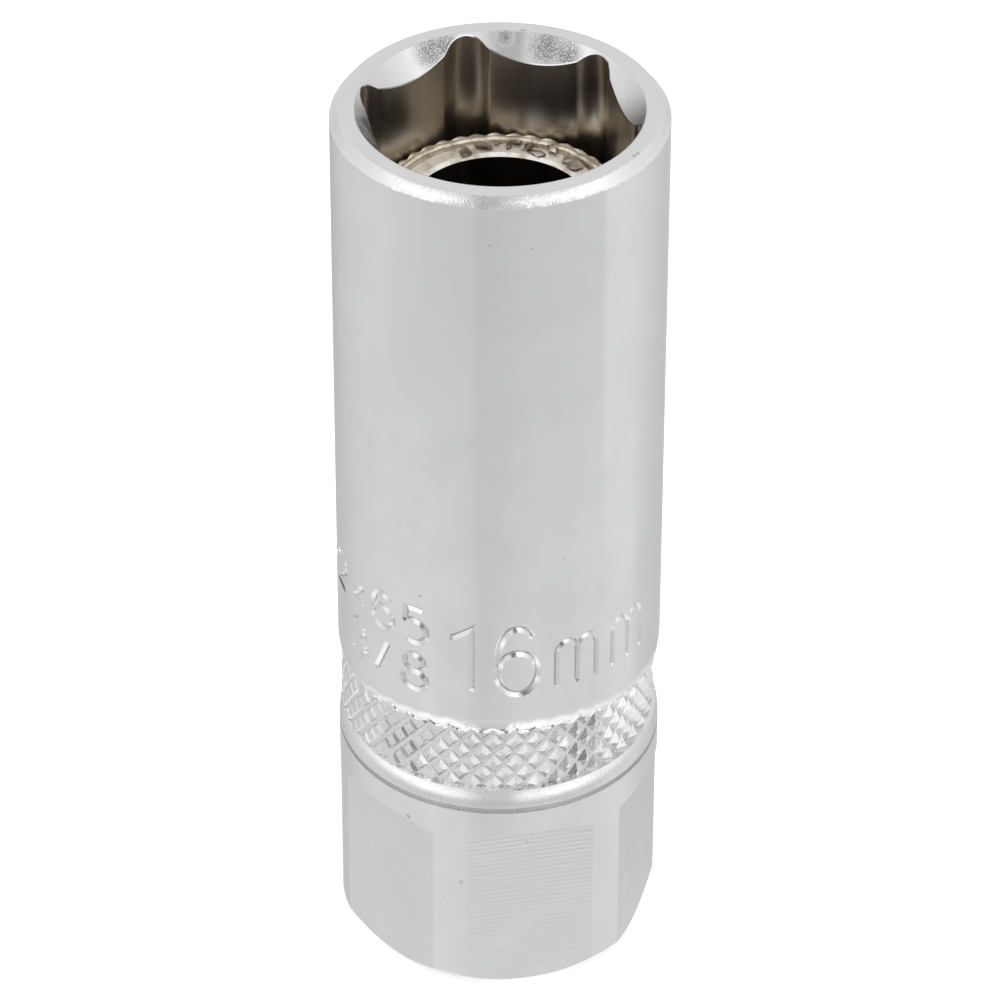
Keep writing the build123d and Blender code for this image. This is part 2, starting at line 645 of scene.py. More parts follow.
@dataclass(frozen=True)
class ChromePlate:
    """Bright chrome plating over brushed steel, as on the socket's outside.

    Attributes:
        name: The material's name.
        tone: Its colour.
        roughness: Its lowest and highest roughness.
        line_pitch: The pitch of cut lines in millimetres, or 0 for none.
        line_depth: Their depth in millimetres.
        line_top: The height in millimetres where the lines are strongest.
        line_tone: How much darker the lines are.
        grain: The depth of its grain in millimetres.
        fleck_share: How much of it is darkened in small soiled flecks, between 0 and 1; on the strip under
            the shoulder they are partly painted shade.
        spots: Places and reaches in millimetres of spots where the plating is rough and dark.
        peel: The depth of its faint orange peel in millimetres.
        fleck_tone: The colour of the dark flecks.
        bare: The colour of the rough spots.
        pit_depth: The depth of the pits in the rough spots in millimetres.
    """

    name: str = "chrome_outside"
    tone: Colour = (0.64, 0.641, 0.643)
    roughness: tuple[float, float] = (0.08, 0.15)
    line_pitch: float = 0.0
    line_depth: float = 0.0
    line_top: float = 13.0
    line_tone: float = 0.06
    grain: float = 0.0
    fleck_share: float = 0.0
    spots: Spots = ()
    peel: float = 0.0006
    fleck_tone: Colour = (0.27, 0.25, 0.225)
    bare: Colour = (0.16, 0.158, 0.155)
    pit_depth: float = 0.02

    def shaded(self, share: float) -> Colour:
        """Return a share of the plating's tone."""
        return tuple(share * value for value in self.tone)

    def make(self) -> bpy.types.Material:
        """Return the material."""
        bench = Bench(self.name, 1.0)
        cloud = bench.noise(5.0, 3.0, 0.55)
        streaks = bench.noise(0.9, 2.0, 0.5, bench.stretched((1.0, 1.0, 0.06)))
        specks = bench.spread(bench.cells(0.85), 0.05, 0.09, 1.0, 0.0)
        chosen = bench.spread(bench.noise(2.6, 1.0), 0.6, 0.66)
        dull = self.shaded(0.965)
        tone = bench.between(bench.spread(cloud, 0.35, 0.7), self.tone, dull)
        tone = bench.between(bench.maths("MULTIPLY", specks, chosen), tone, self.shaded(0.55))
        haze = bench.spread(bench.maths("ADD", cloud, streaks), 0.75, 1.25, *self.roughness)
        normal = bench.bump(bench.noise(0.55, 1.0), self.peel)
        normal = bench.bump(streaks, self.peel, normal)
        if self.line_pitch:
            lines = self._cut_lines(bench)
            normal = bench.bump(lines, self.line_depth, normal)
            worn = tuple((1.0 - self.line_tone) * value for value in dull)
            tone = bench.between(lines, tone, worn)
        if self.grain:
            normal = bench.bump(bench.noise(0.12, 3.0, 0.6), self.grain, normal)
        # Dark flecks: soiling, and on the strip under the shoulder partly painted shade.
        if self.fleck_share:
            flecks = bench.spread(bench.noise(0.22, 3.0, 0.7), 0.56, 0.7, 0.0, self.fleck_share)
            tone = bench.between(flecks, tone, self.fleck_tone)
        if self.spots:
            rough = self._rough_spots(bench)
            tone = bench.between(rough, tone, self.bare)
            normal = bench.bump(rough, self.pit_depth, normal)
        return bench.dress(tone, haze, normal)

    def _cut_lines(self, bench: Bench) -> bpy.types.NodeSocket:
        """Return the lines that a cutter leaves, which come and go and fade towards the foot.

        Args:
            bench: The bench that the material is on.

        Returns:
            A number that is 1 in the lines and 0 between them.
        """
        lines = bench.lines(self.line_pitch)
        fade = bench.spread(bench.height(), 0.0, self.line_top * MM, 0.3)
        lines = bench.maths("MULTIPLY", lines, fade)
        patch = bench.spread(bench.noise(2.2, 2.0, 0.5, bench.stretched((1.0, 1.0, 4.0))), 0.3, 0.7, 0.35)
        return bench.maths("MULTIPLY", lines, patch)

    def _rough_spots(self, bench: Bench) -> bpy.types.NodeSocket:
        """Return the pits in the spots where the plating is rough.

        Args:
            bench: The bench that the material is on.

        Returns:
            A number that is 1 in the pits and 0 outside the spots.
        """
        rough = bench.near(*self.spots[0])
        for place, reach in self.spots[1:]:
            rough = bench.maths("MAXIMUM", rough, bench.near(place, reach))
        pits = bench.spread(bench.noise(0.07, 2.0, 0.7), 0.36, 0.6, 1.0, 0.1)
        return bench.maths("MULTIPLY", rough, pits)


@dataclass(frozen=True)
class BroachedSteel:
    """The dark oiled steel of the hex, where plating hardly reaches; made near-black it is painted shade in
    the bore and the magnet's hole.

    Attributes:
        name: The material's name.
        tone: Its colour.
        pale: The colour of its paler clouds.
        roughness: Its lowest and highest roughness.
        painted_highlights: Places and reaches in millimetres of spots painted bright as highlights on the
            hex's flanks.
        bright: The colour of the painted highlights and of the grit.
    """

    name: str = "broached_inside"
    tone: Colour = (0.41, 0.365, 0.315)
    pale: Colour = (0.57, 0.52, 0.455)
    roughness: tuple[float, float] = (0.25, 0.35)
    painted_highlights: Spots = ()
    bright: Colour = (0.95, 0.93, 0.88)

    def make(self) -> bpy.types.Material:
        """Return the material."""
        bench = Bench(self.name, 1.0)
        cloud = bench.noise(3.4, 2.0, 0.5, bench.stretched((1.0, 1.0, 0.12)))
        grit = bench.spread(bench.cells(0.42), 0.05, 0.12, 1.0, 0.0)
        rare = bench.spread(bench.noise(1.1, 1.0), 0.54, 0.6)
        grit = bench.maths("MULTIPLY", grit, rare)
        tone = bench.between(bench.spread(cloud, 0.35, 0.7), self.tone, self.pale)
        # Painted highlights: spots of the wall painted bright.
        for place, reach in self.painted_highlights:
            tone = bench.between(bench.near(place, reach), tone, self.bright)
        tone = bench.between(grit, tone, self.bright)
        haze = bench.spread(cloud, 0.3, 0.7, *self.roughness)
        normal = bench.bump(bench.noise(0.09, 2.0, 0.5), 0.0008)
        return bench.dress(tone, haze, bench.bump(grit, 0.002, normal))


@dataclass(frozen=True)
class PressedMetal:
    """Pressed or sintered metal of the insert, stained in its hollows.

    Attributes:
        name: The material's name.
        tone: Its colour.
        stain: The colour of its stains.
        roughness: Its lowest and highest roughness.
        metallic: How metallic it is.
        grain_size: The size of its grain in millimetres.
        grain_depth: The depth of its grain in millimetres.
    """

    name: str
    tone: Colour
    stain: Colour
    roughness: tuple[float, float]
    metallic: float = 1.0
    grain_size: float = 0.18
    grain_depth: float = 0.01

    def make(self) -> bpy.types.Material:
        """Return the material."""
        bench = Bench(self.name, self.metallic)
        cloud = bench.noise(1.1, 4.0, 0.6)
        tone = bench.between(bench.spread(cloud, 0.42, 0.68), self.tone, self.stain)
        haze = bench.spread(cloud, 0.3, 0.7, *self.roughness)
        normal = bench.bump(bench.noise(self.grain_size, 3.0, 0.6), self.grain_depth)
        return bench.dress(tone, haze, normal)


# Socket body


@dataclass
class GripBand:
    """The rolled diamond band, unrolled while its grooves are cut and then wrapped round.

    Attributes:
        core: The mean radius of its groove floors.
        bottom: Its lower end.
        top: Its upper end.
        columns: How many studs go round.
        rows: How many rows of them show.
        row_pitch: The height from one row to the next.
        angle: The angle of a stud of the first row.
        crown: The mean radius of the crests.
        broad: The width of the grooves that climb to the right.
        narrow: The width of the grooves that climb to the left.
        crest: The mean share of a stud's foot that its crest has.
        crest_limits: The smallest and the largest such share.
        crest_climb: How much the share grows from one row to the next.
        crest_spread: How much it differs by chance.
        lean: How much less of it there is on the side that is rolled deepest.
        tilt: How much a stud's crest is out of place along, up and out by chance.
        slope: How far a stud's sides climb for each millimetre inwards.
        pit: The depth of the pit in its crest.
        swing: How much lower the crown is on the side that is rolled deepest, and higher opposite.
        wave: How far the burr at the top wanders up and down.
        ripple: How far finer waves wander in it.
        lap: How far the band reaches up under the burr.
        fade: The height over which the studs sink there.
        runout: The height of the steep face under the lowest studs.
        ledge: How far past the crown that face starts.
    """

    core: float = 10.5
    bottom: float = 17.4
    top: float = 22.5
    columns: int = 45
    rows: int = 6
    row_pitch: float = 0.885
    angle: float = -92.0
    crown: float = 10.73
    broad: float = 0.26
    narrow: float = 0.1
    crest: float = 0.42
    crest_limits: tuple[float, float] = (0.08, 0.8)
    crest_climb: float = 0.03
    crest_spread: float = 0.04
    lean: float = 0.3
    tilt: Place = (0.02, 0.024, 0.012)
    slope: float = 0.88
    pit: float = 0.03
    swing: float = 0.07
    wave: float = 0.16
    ripple: float = 0.08
    lap: float = 0.3
    fade: float = 0.12
    runout: float = 0.1
    ledge: float = 0.08

    @property
    def step(self) -> float:
        """The angle from one stud to the next."""
        return 360.0 / self.columns

    @property
    def half_wide(self) -> float:
        """Half the width of a stud and its grooves along the unrolled band."""
        return pi * self.core / self.columns

    @property
    def slant(self) -> float:
        """The length of one side of the diamond that a stud and its grooves fill."""
        return hypot(self.half_wide, self.row_pitch)

    def burr(self, angle: float) -> float:
        """Return how far the burr along the top stands above its mean line.

        Args:
            angle: The angle in degrees.

        Returns:
            The height above the line, or below it where it is negative.
        """
        turn = radians(from_nearest(angle, self.angle, self.step) / self.step * 360.0)
        turn += 0.9 * cos(radians(angle)) * cos(turn)
        ragged = wander(angle, 40.0, 3.0)
        return self.wave * cos(turn) * (0.8 + 0.6 * ragged) + self.ripple * ragged

    def rise(self, share: float) -> float:
        """Return how high a stud stands whose crest has a share of its foot."""
        reach = self.half_wide * self.row_pitch / self.slant - (self.broad + self.narrow) / 4
        return self.slope * reach * (1.0 - share)

    def floor(self, angle: float) -> float:
        """Return the radius of the groove floors at an angle."""
        side = cos(radians(angle))
        return self.crown - self.swing * side - self.rise(self.crest - self.lean * side)

    def _cell(self, bm: bmesh.types.BMesh) -> Geometry:
        """Cut one stud with half of each groove round it.

        Args:
            bm: The mesh that it is made in.

        Returns:
            The cell's points, edges and faces.
        """
        half_wide, half_tall = self.half_wide, self.row_pitch
        made = bmesh.ops.create_circle(bm, cap_ends=True, segments=4, radius=1.0)
        bmesh.ops.scale(bm, vec=(half_wide, half_tall, 1.0), verts=made["verts"])
        for side, width in ((1, self.narrow), (-1, self.broad)):
            normal = Vector((half_tall, side * half_wide, 0.0)) / self.slant
            reach = half_wide * half_tall / self.slant - width / 2
            for place in (reach * normal, -1 * reach * normal):
                bmesh.ops.bisect_plane(bm, geom=whole(bm), dist=1e-5, plane_co=place, plane_no=normal)
        seat = min(bm.faces, key=lambda face: face.calc_center_median().length)
        raised = bmesh.ops.extrude_discrete_faces(bm, faces=[seat])["faces"][0]
        bmesh.ops.translate(bm, vec=(0.0, 0.0, 1.0), verts=raised.verts[:])
        bmesh.ops.poke(bm, faces=[raised], offset=-self.pit)
        return whole(bm)

    def _plant(
        self, bm: bmesh.types.BMesh, cell: Geometry, row: int, column: int, chance: random.Random
    ) -> None:
        """Put one stud in its place on the unrolled band.

        Args:
            bm: The mesh.
            cell: The cell that is copied.
            row: The stud's row, counted from the lowest.
            column: Its column.
            chance: The source of what differs from stud to stud.
        """
        angle = self.angle + (column + (row % 2) / 2) * self.step
        share = self.crest - self.lean * cos(radians(angle))
        share += self.crest_climb * (row - (self.rows - 1) / 2)
        share = held_within(share + chance.gauss(0, self.crest_spread), *self.crest_limits)
        verts = points_in(bmesh.ops.duplicate(bm, geom=cell)["geom"])
        tops = [vert for vert in verts if vert.co.z > 0.5]
        bmesh.ops.scale(bm, vec=(share, share, 1.0), verts=tops)
        bmesh.ops.translate(bm, vec=(0.0, 0.0, self.rise(share) - 1.0), verts=tops)
        tilt = Vector([chance.gauss(0, amount) for amount in self.tilt])
        bmesh.ops.translate(bm, vec=tilt, verts=tops)
        lowest = self.bottom + (self.top - self.bottom - (self.rows - 1) * self.row_pitch) / 2
        place = (radians(angle) * self.core, lowest + row * self.row_pitch, 0.0)
        bmesh.ops.translate(bm, vec=place, verts=verts)

    def _cut_across(self, bm: bmesh.types.BMesh, height: float, side: int, trim: bool) -> None:
        """Cut the unrolled band at a height.

        Args:
            bm: The mesh.
            height: The height.
            side: 1 where up is the outer side of the cut, and -1 where down is.
            trim: Whether what is on the outer side goes.
        """
        bmesh.ops.bisect_plane(
            bm,
            geom=whole(bm),
            dist=1e-4,
            plane_co=(0.0, height, 0.0),
            plane_no=(0.0, side, 0.0),
            clear_outer=trim,
        )

    def _wrap(self, bm: bmesh.types.BMesh) -> None:
        """Wrap the unrolled band round the socket.

        Args:
            bm: The mesh.
        """
        for vert in bm.verts:
            turn, up = vert.co.x / self.core, vert.co.y
            under = held_within((self.top + self.lap - up) / self.fade, 0.0, 1.0)
            reach = self.floor(degrees(turn)) + under * vert.co.z
            if up < self.bottom + 0.5 * self.runout:
                reach = self.crown + self.ledge
            vert.co = (reach * cos(turn), reach * sin(turn), up)

    def build(self) -> bmesh.types.BMesh:
        """Return the band wrapped round the socket, open along its top and bottom."""
        chance = random.Random(7)
        bm = bmesh.new()
        cell = self._cell(bm)
        for row in range(-1, self.rows + 1):
            for column in range(self.columns):
                self._plant(bm, cell, row, column, chance)
        bmesh.ops.delete(bm, geom=[item for item in cell if item.is_valid], context="VERTS")
        bmesh.ops.remove_doubles(bm, verts=bm.verts[:], dist=1e-3)
        self._cut_across(bm, self.top + self.lap, 1, True)
        self._cut_across(bm, self.bottom, -1, True)
        self._cut_across(bm, self.bottom + self.runout, 1, False)
        self._wrap(bm)
        bmesh.ops.remove_doubles(bm, verts=bm.verts[:], dist=1e-3)
        for face in bm.faces:
            face.material_index = Coat.ROLLED
        return bm


@dataclass(frozen=True)
class Stroke:
    """One stroke of a stamped figure, in a box one wide and one high.

    Attributes:
        points: The points that it runs through.
        closed: Whether it closes on itself.
    """

    points: tuple[Point, ...]
    closed: bool = False


def bow(centre: Point, size: Point, start: float, end: float, count: int = 14) -> tuple[Point, ...]:
    """Return points along an elliptic bow.

    Args:
        centre: Its centre.
        size: Its half width and half height.
        start: The angle that it starts at, in degrees.
        end: The angle that it ends at.
        count: How many runs it has.

    Returns:
        The points.
    """
    turns = [radians(start + (end - start) * index / count) for index in range(count + 1)]
    return tuple((centre[0] + size[0] * cos(turn), centre[1] + size[1] * sin(turn)) for turn in turns)


def ring_stroke(centre: Point, size: Point) -> Stroke:
    """Return a closed elliptic stroke.

    Args:
        centre: Its centre.
        size: Its half width and half height.

    Returns:
        The stroke.
    """
    count = 24
    return Stroke(bow(centre, size, 0, 360 - 360 / count, count - 1), True)


FIGURES = {
    "1": (Stroke(((0.0, 0.79), (1.0, 1.0), (1.0, 0.0))),),
    "2": (Stroke(bow((0.5, 0.7), (0.48, 0.3), 165, -30) + ((0.0, 0.0), (1.0, 0.0))),),
    "3": (
        Stroke(bow((0.46, 0.75), (0.42, 0.25), 150, -90)),
        Stroke(bow((0.46, 0.25), (0.5, 0.26), 90, -150)),
    ),
    "5": (
        Stroke(((0.92, 1.0), (0.12, 1.0), (0.06, 0.5))),
        Stroke(bow((0.46, 0.33), (0.5, 0.33), 135, -140)),
    ),
    "6": (
        Stroke(bow((0.5, 0.5), (0.5, 0.5), 40, 180) + ((0.0, 0.42), (0.0, 0.33))),
        ring_stroke((0.5, 0.315), (0.5, 0.315)),
    ),
    "8": (ring_stroke((0.5, 0.76), (0.4, 0.24)), ring_stroke((0.5, 0.26), (0.5, 0.26))),
    "m": (
        Stroke(((0.0, 0.0), (0.0, 0.72)) + bow((0.25, 0.72), (0.25, 0.28), 175, 0) + ((0.5, 0.0),)),
        Stroke(((0.5, 0.6),) + bow((0.75, 0.72), (0.25, 0.28), 170, 0) + ((1.0, 0.0),)),
    ),
    "x": (Stroke(((0.1, 0.15), (0.9, 0.75))), Stroke(((0.1, 0.75), (0.9, 0.15)))),
    "/": (Stroke(((0.1, -0.02), (0.9, 1.02))),),
}


@dataclass(frozen=True)
class StampedMark:
    """A figure stamped into the barrel with a V-shaped tool.

    Attributes:
        figure: Which figure.
        left: How far along the barrel's face its left side is from the front, in millimetres.
        foot: The height of its foot.
        width: Its width.
        height: Its height.
        half_line: Half the width of its groove.
        depth: The depth of its groove.
    """

    figure: str
    left: float
    foot: float
    width: float
    height: float
    half_line: float = 0.27
    depth: float = 0.17

    def cutters(self, radius: float) -> list[bmesh.types.BMesh]:
        """Return one closed cutter for each stroke, wrapped round a barrel of a radius."""
        return [self._cutter(stroke, radius) for stroke in FIGURES[self.figure]]

    def _path(self, stroke: Stroke) -> tuple[list[Vector], list[float]]:
        """Return a stroke's way along the unrolled barrel, run out to a point at open ends.

        Args:
            stroke: The stroke.

        Returns:
            Its points, and the share of the full groove at each.
        """
        path = [
            Vector((self.left + self.width * x, self.foot + self.height * y, 0.0))
            for x, y in stroke.points
        ]
        if stroke.closed:
            return path, [1.0] * len(path)
        inner = []
        for end, after in ((0, 1), (-1, -2)):
            run = path[after] - path[end]
            inner.append(path[end] + run.normalized() * min(self.half_line, 0.6 * run.length))
        path = [path[0], inner[0], *path[1:-1], inner[1], path[-1]]
        return path, [0.0] + [1.0] * (len(path) - 2) + [0.0]

    def _swept(self, stroke: Stroke) -> bmesh.types.BMesh:
        """Return the stamp's diamond section swept along a stroke of the unrolled barrel.

        Args:
            stroke: The stroke.

        Returns:
            The mesh, with its doubles merged.
        """
        path, shares = self._path(stroke)
        curve = bpy.data.curves.new("stroke_work", "CURVE")
        curve.dimensions = "2D"
        curve.fill_mode = "NONE"
        curve.bevel_depth = self.half_line
        curve.bevel_resolution = 0
        spline = curve.splines.new("POLY")
        spline.points.add(len(path) - 1)
        for point, place, share in zip(spline.points, path, shares):
            point.co = (*place, 1.0)
            point.radius = share
        spline.use_cyclic_u = stroke.closed
        holder = bpy.data.objects.new("stroke_work", curve)
        bpy.context.scene.collection.objects.link(holder)
        bpy.context.view_layer.update()
        mesh = bpy.data.meshes.new_from_object(holder.evaluated_get(bpy.context.evaluated_depsgraph_get()))
        bpy.data.objects.remove(holder)
        bpy.data.curves.remove(curve)
        bm = bmesh.new()
        bm.from_mesh(mesh)
        bpy.data.meshes.remove(mesh)
        bmesh.ops.remove_doubles(bm, verts=bm.verts[:], dist=1e-3)
        return bm

    def _cutter(self, stroke: Stroke, radius: float) -> bmesh.types.BMesh:
        """Wrap a swept stroke round the barrel.

        Args:
            stroke: The stroke.
            radius: The barrel's radius.

        Returns:
            The closed cutter.
        """
        bm = self._swept(stroke)
        for vert in bm.verts:
            turn = radians(-90.0) + vert.co.x / radius
            out = radius + vert.co.z * self.depth / self.half_line
            vert.co = (out * cos(turn), out * sin(turn), vert.co.y)
        bmesh.ops.recalc_face_normals(bm, faces=bm.faces[:])
        if bm.calc_volume(signed=True) < 0.0:
            bmesh.ops.reverse_faces(bm, faces=bm.faces[:])
        for face in bm.faces:
            face.material_index = Coat.STRUCK
        return bm


UPPER_ROW = (
    ("5", -6.75, 1.85), ("6", -9.55, 1.85), ("x", -12.2, 1.75), ("2", -15.0, 1.85), ("2", -17.8, 1.85),
)
LOWER_ROW = (("8", -6.85, 1.85), ("/", -9.5, 1.6), ("3", -12.2, 1.85))
SIZE_MARKS = (
    StampedMark("1", -3.42, 25.85, 1.68, 5.35),
    StampedMark("6", -0.1, 25.8, 2.7, 5.45),
    StampedMark("m", 3.93, 25.85, 3.02, 3.8, 0.2, 0.14),
    StampedMark("m", 8.38, 25.85, 2.98, 3.8, 0.2, 0.14),
    *(StampedMark(figure, left, 29.05, width, 2.75, 0.26, 0.16) for figure, left, width in UPPER_ROW),
    *(StampedMark(figure, left, 25.15, width, 2.85, 0.26, 0.16) for figure, left, width in LOWER_ROW),
)


def stamp(piece: bpy.types.Object, marks: Sequence[StampedMark], radius: float) -> None:
    """Cut marks into a piece, whose mesh is still in millimetres.

    The strokes of one figure cross each other, so each goes in a tool of its own.

    Args:
        piece: The piece.
        marks: The marks.
        radius: The radius of the barrel that they are on.
    """
    layers: list[bmesh.types.BMesh] = []
    for mark in marks:
        for layer, cutter in enumerate(mark.cutters(radius)):
            if layer == len(layers):
                layers.append(bmesh.new())
            pour(cutter, layers[layer])
    tools = [put_in_scene("stamp_work", layer) for layer in layers]
    for tool in tools:
        cut = piece.modifiers.new("stamp", "BOOLEAN")
        cut.operation = "DIFFERENCE"
        cut.solver = "MANIFOLD"
        cut.object = tool
    bpy.context.view_layer.update()
    plain = piece.data
    name = plain.name
    stamped = piece.evaluated_get(bpy.context.evaluated_depsgraph_get())
    piece.data = bpy.data.meshes.new_from_object(stamped)
    piece.modifiers.clear()
    bpy.data.meshes.remove(plain)
    piece.data.name = name
    for tool in tools:
        held = tool.data
        bpy.data.objects.remove(tool)
        bpy.data.meshes.remove(held)


def past(plane: tuple[Vector, Vector], point: Vector) -> float:
    """Return how far a point is past a plane.

    Args:
        plane: A point of the plane and its normal.
        point: The point.

    Returns:
        The distance, negative where the point is short of the plane.
    """
    place, normal = plane
    return (point - place).dot(normal)


@dataclass
class SocketBody:
    """The one piece of plated steel: barrel, grip band, drive end, hex, bore and square.

    Attributes:
        length: Its length.
        radius: Its outer radius.
        band: The grip band.
        mouth_edge: Radial and axial size of the chamfer round the mouth.
        drive_edge: Radial and axial size of the chamfer round the drive end.
        barrel_round: Height of the barrel's lower round-over, and how far it drops in.
        burr_rings: How far out and up each ring of the rolled burr lies from the barrel's lower edge.
        burr_root: How far up the round-over meets the burr.
        shoulder: Height of the shoulder under the band, and how far it drops in.
        strip_rings: How far out and up each ring of the strip lies from the shoulder's foot.
        hex_flank: Half the hex's size across its flats.
        hex_angle: The angle of one of its corners.
        hex_floor: The height of its floor.
        hex_lip: How wide the burnished lip between cone and hex is.
        lobe_centre: The distance of a corner lobe's centre from the axis.
        lobe_radius: The lobe's radius.
        cone_mouth: The entry cone's radius at the mouth.
        cone_slope: How far the entry cone sinks for each millimetre inwards.
        bore: The bore's radius.
        bore_point: The height of the drill's point.
        drill_angle: Half the angle of the drill's point.
        square: Half the drive square's size.
        square_corner: The radius of its relieved corners.
        square_entry: The radius of its entry chamfer.
        recess_height: The height of the recess for the spring ball.
        recess_reach: The distance of the recess's centre from the axis.
        recess_radius: The recess's radius.
        flat_flank: The distance of a wrench flat from the axis.
        flat_angle: The angle of one of the flats.
        flat_top: The height of the flats' upper end.
        flat_runout: How much higher the runout over it ends.
        steps: How many points each ring has.
    """

    length: float = 65.0
    radius: float = 11.0
    band: GripBand = field(default_factory=GripBand)
    mouth_edge: Point = (0.53, 0.7)
    drive_edge: Point = (0.95, 1.0)
    barrel_round: Point = (1.2, 0.17)
    burr_rings: tuple[Point, ...] = ((0.0, 0.0), (0.06, 0.05), (-0.005, 0.155))
    burr_root: float = 0.23
    shoulder: Point = (1.5, 0.19)
    strip_rings: tuple[Point, ...] = ((-0.05, -0.3), (-0.045, -0.05), (-0.005, 0.1))
    hex_flank: float = 8.1
    hex_angle: float = 44.9
    hex_floor: float = 51.0
    hex_lip: float = 0.04
    lobe_centre: float = 7.53
    lobe_radius: float = 1.74
    cone_mouth: float = 9.38
    cone_slope: float = 1.248
    bore: float = 7.0
    bore_point: float = 11.0
    drill_angle: float = 59.0
    square: float = 4.8
    square_corner: float = 6.548
    square_entry: float = 6.1
    recess_height: float = 5.5
    recess_reach: float = 4.2
    recess_radius: float = 1.2
    flat_flank: float = 10.08
    flat_angle: float = 42.5
    flat_top: float = 13.05
    flat_runout: float = 0.72
    steps: int = 720

    def hex_radius(self, angle: float) -> float:
        """Return how far the hex's wall is from the axis.

        Args:
            angle: The angle in degrees.

        Returns:
            The distance at that angle.
        """
        turn = radians(from_nearest(angle, self.hex_angle, 60.0))
        flank = self.hex_flank / cos(radians(30.0) - abs(turn))
        wall = min(flank, hypot(self.hex_flank, self.lobe_centre / 2))
        across = self.lobe_centre * sin(turn)
        if abs(across) >= self.lobe_radius:
            return wall
        lobe = self.lobe_centre * cos(turn) + sqrt(self.lobe_radius**2 - across**2)
        return smooth_max(wall, lobe, 0.12)

    def square_radius(self, angle: float) -> float:
        """Return how far the drive square's wall is from the axis at an angle."""
        turn = radians(from_nearest(angle, 0.0, 90.0))
        return min(self.square / cos(turn), self.square_corner)

    def _cone_ring(self, reach: Polar) -> tuple[Polar, Polar]:
        """Return the radius and height of the entry cone's ring at a distance from the axis."""
        mouth, slope = self.cone_mouth, self.cone_slope
        return reach, lambda angle: self.length - (mouth - at_angle(reach, angle)) * slope

    def _burr_line(self, rise: float, share: float = 1.0) -> Callable[[float], float]:
        """Return the height of a ring that follows a share of the burr above its mean line."""
        return lambda angle: self.band.top + rise + share * self.band.burr(angle)

    def _ragged(self, angle: float) -> float:
        """Return how far up the mouth's chamfer its lower edge wanders at an angle."""
        return max(0.07 + 0.05 * wander(angle, 24.0, 0.0) + 0.05 * wander(angle, 70.0, 9.0), 0.01)

    def _barrel(self, lathe: Lathe) -> None:
        """Turn the barrel from the burr over the grip band up its wall.

        Args:
            lathe: The lathe that the body is on.
        """
        height, drop = self.barrel_round
        foot = self.band.top + height
        burr = [(self.radius - drop + out, self._burr_line(up)) for out, up in self.burr_rings]
        lathe.start(*burr[0])
        lathe.rings(burr[1:])
        root = self._burr_line(self.burr_root)
        lathe.ring(lambda angle: round_over(self.radius, self.barrel_round, foot - root(angle)), root)
        for share in (0.38, 0.5, 0.62, 0.74, 0.87, 1.0):
            up = self.band.top + share * height
            left = 0.9 * (1.0 - share)
            line = self._burr_line(share * height, left)
            lathe.ring(round_over(self.radius, self.barrel_round, foot - up), line)
        first, pitch, count = foot + 0.45, 0.6, 17
        lathe.rings((self.radius, first + pitch * index) for index in range(count))

    def _rim(self, lathe: Lathe) -> None:
        """Turn the upper wall, the ragged chamfer round the mouth and the flat rim.

        Args:
            lathe: The lathe that the body is on.
        """
        radial, axial = self.mouth_edge
        edge = self.length - axial
        lathe.ring(self.radius, edge - 12.0)
        lathe.ring(self.radius, lambda angle: edge - 0.03 + 0.7 * self._ragged(angle))
        lathe.material = Coat.CHAMFER
        for rise in (self._ragged, 0.5 * axial, lambda angle: axial - 0.4 * self._ragged(angle)):
            lathe.ring(
                lambda angle, rise=rise: self.radius - radial / axial * at_angle(rise, angle),
                lambda angle, rise=rise: edge + at_angle(rise, angle),
            )
        flat = (self.radius - radial - 0.01, self.cone_mouth + 0.05)
        lathe.rings(((reach, self.length) for reach in flat), Coat.OUTSIDE)

    def _mouth(self, lathe: Lathe) -> None:
        """Sink the entry cone and the hex down to the hex's floor.

        Args:
            lathe: The lathe that the body is on.
        """
        start = self.cone_mouth - 0.02
        lathe.rings([self._cone_ring(start)], Coat.CONE)
        for share in (0.35, 0.7):
            def inwards(angle: float, share: float = share) -> float:
                """Return the ring's radius part of the way in to the hex's edge."""
                edge = self.hex_radius(angle) + 0.03
                return min(start, self.cone_mouth + share * (edge - self.cone_mouth))
            lathe.ring(*self._cone_ring(inwards))
        lathe.ring(*self._cone_ring(lambda angle: self.hex_radius(angle) + self.hex_lip))
        reach, height = self._cone_ring(self.hex_radius)
        lathe.rings([(reach, lambda angle: height(angle) - self.hex_lip)], Coat.OUTSIDE)
        lathe.rings(((reach, up) for up in (61.5, 58.0, 54.5, self.hex_floor)), Coat.HEX)

    def _bore(self, lathe: Lathe) -> None:
        """Drill the bore, broach the square and turn the recess for the spring ball.

        Args:
            lathe: The lathe that the body is on.
        """
        drill = tan(radians(self.drill_angle))
        top = self.hex_floor
        ends = ((self.bore + 0.05, top), (self.bore, top - 0.05), (self.bore, 30.0))
        # The bore's faces take a near-black coat: painted shade.
        lathe.rings(ends, Coat.BORE)
        lathe.ring(self.bore, self.bore_point + self.bore / drill)
        lathe.ring(self.square_radius, lambda angle: self.bore_point + self.square_radius(angle) / drill)
        for up in (1.2, 1.05, 0.7, 0.35, 0.0, -0.35, -0.7, -1.05, -1.2):
            groove = self.recess_reach + sqrt(max(self.recess_radius**2 - up**2, 0.0))
            lathe.ring(
                lambda angle, groove=groove: max(self.square_radius(angle), groove),
                self.recess_height + up,
            )
        lathe.material = Coat.OUTSIDE
        lathe.ring(
            self.square_radius, lambda angle: max(0.02, self.square_entry - self.square_radius(angle))
        )
        lathe.ring(lambda angle: max(self.square_entry, self.square_radius(angle) + 0.02), 0.0)

